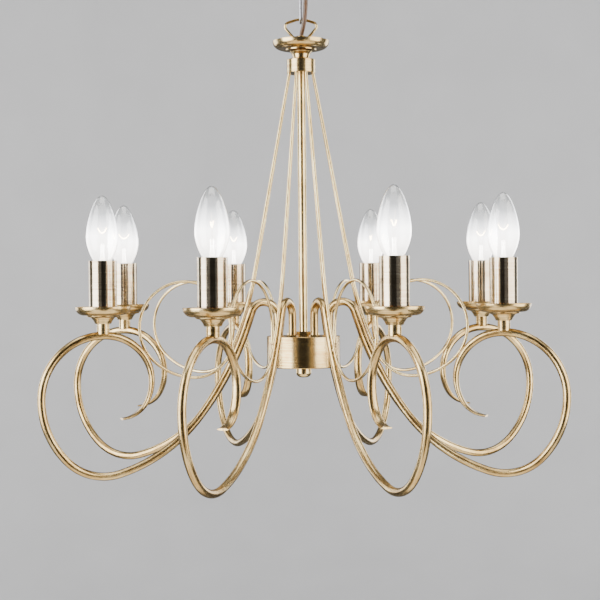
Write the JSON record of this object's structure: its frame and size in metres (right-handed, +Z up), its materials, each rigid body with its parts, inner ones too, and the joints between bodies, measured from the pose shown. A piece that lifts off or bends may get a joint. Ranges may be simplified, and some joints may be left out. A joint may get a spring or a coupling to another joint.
{
  "type": "multi arm chandelier",
  "caption": "Hanging candle chandelier with bent tube arms, wire scrolls, drip pans and screw-in candle bulbs, hung from a ceiling canopy by a chain link.",
  "frame": {"origin": "the ceiling plane, at the middle of the ceiling bracket's two screw holes", "axes": "+Z up into the ceiling and along the stem; the bracket's screw holes lie along X; the arms stand at 22.5 degrees plus every 45 degrees from +X"},
  "size_m": [0.5478, 0.5478, 0.5603],
  "materials": {
    "antique_brass": "satin antique brass, fine brushed",
    "brushed_brass": "brushed, satin",
    "zinc_steel": "zinc plated",
    "contact_brass": "plain",
    "lampholder_plastic": "moulded",
    "terminal_plastic": "moulded",
    "cord_sheath": "smooth brown sheath",
    "lead_insulation": "smooth",
    "clear_glass": "clear",
    "lamp_cap": "rolled thread",
    "lamp_insulator": "glazed black insulator with a solder contact"
  },
  "bodies": {
    "ceiling_fitting": {"ceiling_bracket": "zinc_steel", "ceiling_eye": "zinc_steel", "eye_nut": "zinc_steel", "ceiling_canopy": "antique_brass", "canopy_screws": "antique_brass", "ceiling_terminal": "terminal_plastic"},
    "link": {"chain_link": "zinc_steel"},
    "loop": {"hanging_loop": "antique_brass", "supply_cord": "cord_sheath"},
    "chandelier": {"loop_nut": "antique_brass", "top_dish": "antique_brass", "dish_lid": "antique_brass", "rod_collar": "antique_brass", "stem_tube": "antique_brass", "stem_nuts": "zinc_steel", "arm_nuts": "zinc_steel", "hub_shell": "antique_brass", "hub_cover": "antique_brass", "hub_finial": "antique_brass", "terminal_ring": "terminal_plastic", "inner_leads": "lead_insulation", "scroll_rods": "antique_brass", "pan_spacers": "antique_brass", "lamp_nipples": "zinc_steel", "drip_pans": "antique_brass", "candle_sleeves": "brushed_brass", "lampholders": "lampholder_plastic", "holder_contacts": "contact_brass", "arm_1": "antique_brass", "arm_2": "antique_brass", "arm_3": "antique_brass", "arm_4": "antique_brass", "arm_5": "antique_brass", "arm_6": "antique_brass", "arm_7": "antique_brass", "arm_8": "antique_brass"},
    "lamp_carrier_1": {"bulb_contact_1": "lamp_insulator"},
    "lamp_1": {"bulb_glass_1": "clear_glass", "bulb_cap_1": "lamp_cap"},
    "lamp_carrier_2": {"bulb_contact_2": "lamp_insulator"},
    "lamp_2": {"bulb_glass_2": "clear_glass", "bulb_cap_2": "lamp_cap"},
    "lamp_carrier_3": {"bulb_contact_3": "lamp_insulator"},
    "lamp_3": {"bulb_glass_3": "clear_glass", "bulb_cap_3": "lamp_cap"},
    "lamp_carrier_4": {"bulb_contact_4": "lamp_insulator"},
    "lamp_4": {"bulb_glass_4": "clear_glass", "bulb_cap_4": "lamp_cap"},
    "lamp_carrier_5": {"bulb_contact_5": "lamp_insulator"},
    "lamp_5": {"bulb_glass_5": "clear_glass", "bulb_cap_5": "lamp_cap"},
    "lamp_carrier_6": {"bulb_contact_6": "lamp_insulator"},
    "lamp_6": {"bulb_glass_6": "clear_glass", "bulb_cap_6": "lamp_cap"},
    "lamp_carrier_7": {"bulb_contact_7": "lamp_insulator"},
    "lamp_7": {"bulb_glass_7": "clear_glass", "bulb_cap_7": "lamp_cap"},
    "lamp_carrier_8": {"bulb_contact_8": "lamp_insulator"},
    "lamp_8": {"bulb_glass_8": "clear_glass", "bulb_cap_8": "lamp_cap"}
  },
  "joints": [
    {"name": "link_swing", "type": "hinge", "parent": "ceiling_fitting", "child": "link", "pos_m": [0, 0, -0.03545], "axis": [1, 0, 0], "range_deg": [-12, 12]},
    {"name": "loop_swing", "type": "hinge", "parent": "link", "child": "loop", "pos_m": [0, 0, -0.06755], "axis": [0, 1, 0], "range_deg": [-12, 12], "deforming": ["supply_cord"]},
    {"name": "frame_pivot", "type": "hinge", "parent": "loop", "child": "chandelier", "pos_m": [0, 0, -0.0856], "axis": [1, 0, 0], "range_deg": [-12, 12]},
    {"name": "lamp_1_rise", "type": "slide", "parent": "chandelier", "child": "lamp_carrier_1", "axis": [0, 0, 1], "range_m": [0, 0.01128]},
    {"name": "lamp_1_turn", "type": "hinge", "parent": "lamp_carrier_1", "child": "lamp_1", "pos_m": [0.20915, 0.08663, -0.3], "axis": [0, 0, 1], "range_deg": [0, 1441]},
    {"name": "lamp_2_rise", "type": "slide", "parent": "chandelier", "child": "lamp_carrier_2", "axis": [0, 0, 1], "range_m": [0, 0.01128]},
    {"name": "lamp_2_turn", "type": "hinge", "parent": "lamp_carrier_2", "child": "lamp_2", "pos_m": [0.08663, 0.20915, -0.3], "axis": [0, 0, 1], "range_deg": [0, 1441]},
    {"name": "lamp_3_rise", "type": "slide", "parent": "chandelier", "child": "lamp_carrier_3", "axis": [0, 0, 1], "range_m": [0, 0.01128]},
    {"name": "lamp_3_turn", "type": "hinge", "parent": "lamp_carrier_3", "child": "lamp_3", "pos_m": [-0.08663, 0.20915, -0.3], "axis": [0, 0, 1], "range_deg": [0, 1441]},
    {"name": "lamp_4_rise", "type": "slide", "parent": "chandelier", "child": "lamp_carrier_4", "axis": [0, 0, 1], "range_m": [0, 0.01128]},
    {"name": "lamp_4_turn", "type": "hinge", "parent": "lamp_carrier_4", "child": "lamp_4", "pos_m": [-0.20915, 0.08663, -0.3], "axis": [0, 0, 1], "range_deg": [0, 1441]},
    {"name": "lamp_5_rise", "type": "slide", "parent": "chandelier", "child": "lamp_carrier_5", "axis": [0, 0, 1], "range_m": [0, 0.01128]},
    {"name": "lamp_5_turn", "type": "hinge", "parent": "lamp_carrier_5", "child": "lamp_5", "pos_m": [-0.20915, -0.08663, -0.3], "axis": [0, 0, 1], "range_deg": [0, 1441]},
    {"name": "lamp_6_rise", "type": "slide", "parent": "chandelier", "child": "lamp_carrier_6", "axis": [0, 0, 1], "range_m": [0, 0.01128]},
    {"name": "lamp_6_turn", "type": "hinge", "parent": "lamp_carrier_6", "child": "lamp_6", "pos_m": [-0.08663, -0.20915, -0.3], "axis": [0, 0, 1], "range_deg": [0, 1441]},
    {"name": "lamp_7_rise", "type": "slide", "parent": "chandelier", "child": "lamp_carrier_7", "axis": [0, 0, 1], "range_m": [0, 0.01128]},
    {"name": "lamp_7_turn", "type": "hinge", "parent": "lamp_carrier_7", "child": "lamp_7", "pos_m": [0.08663, -0.20915, -0.3], "axis": [0, 0, 1], "range_deg": [0, 1441]},
    {"name": "lamp_8_rise", "type": "slide", "parent": "chandelier", "child": "lamp_carrier_8", "axis": [0, 0, 1], "range_m": [0, 0.01128]},
    {"name": "lamp_8_turn", "type": "hinge", "parent": "lamp_carrier_8", "child": "lamp_8", "pos_m": [0.20915, -0.08663, -0.3], "axis": [0, 0, 1], "range_deg": [0, 1441]}
  ],
  "couplings": [
    {"joint": "lamp_1_turn", "follows": "lamp_1_rise", "rad_per_m": 2228.1},
    {"joint": "lamp_2_turn", "follows": "lamp_2_rise", "rad_per_m": 2228.1},
    {"joint": "lamp_3_turn", "follows": "lamp_3_rise", "rad_per_m": 2228.1},
    {"joint": "lamp_4_turn", "follows": "lamp_4_rise", "rad_per_m": 2228.1},
    {"joint": "lamp_5_turn", "follows": "lamp_5_rise", "rad_per_m": 2228.1},
    {"joint": "lamp_6_turn", "follows": "lamp_6_rise", "rad_per_m": 2228.1},
    {"joint": "lamp_7_turn", "follows": "lamp_7_rise", "rad_per_m": 2228.1},
    {"joint": "lamp_8_turn", "follows": "lamp_8_rise", "rad_per_m": 2228.1}
  ]
}
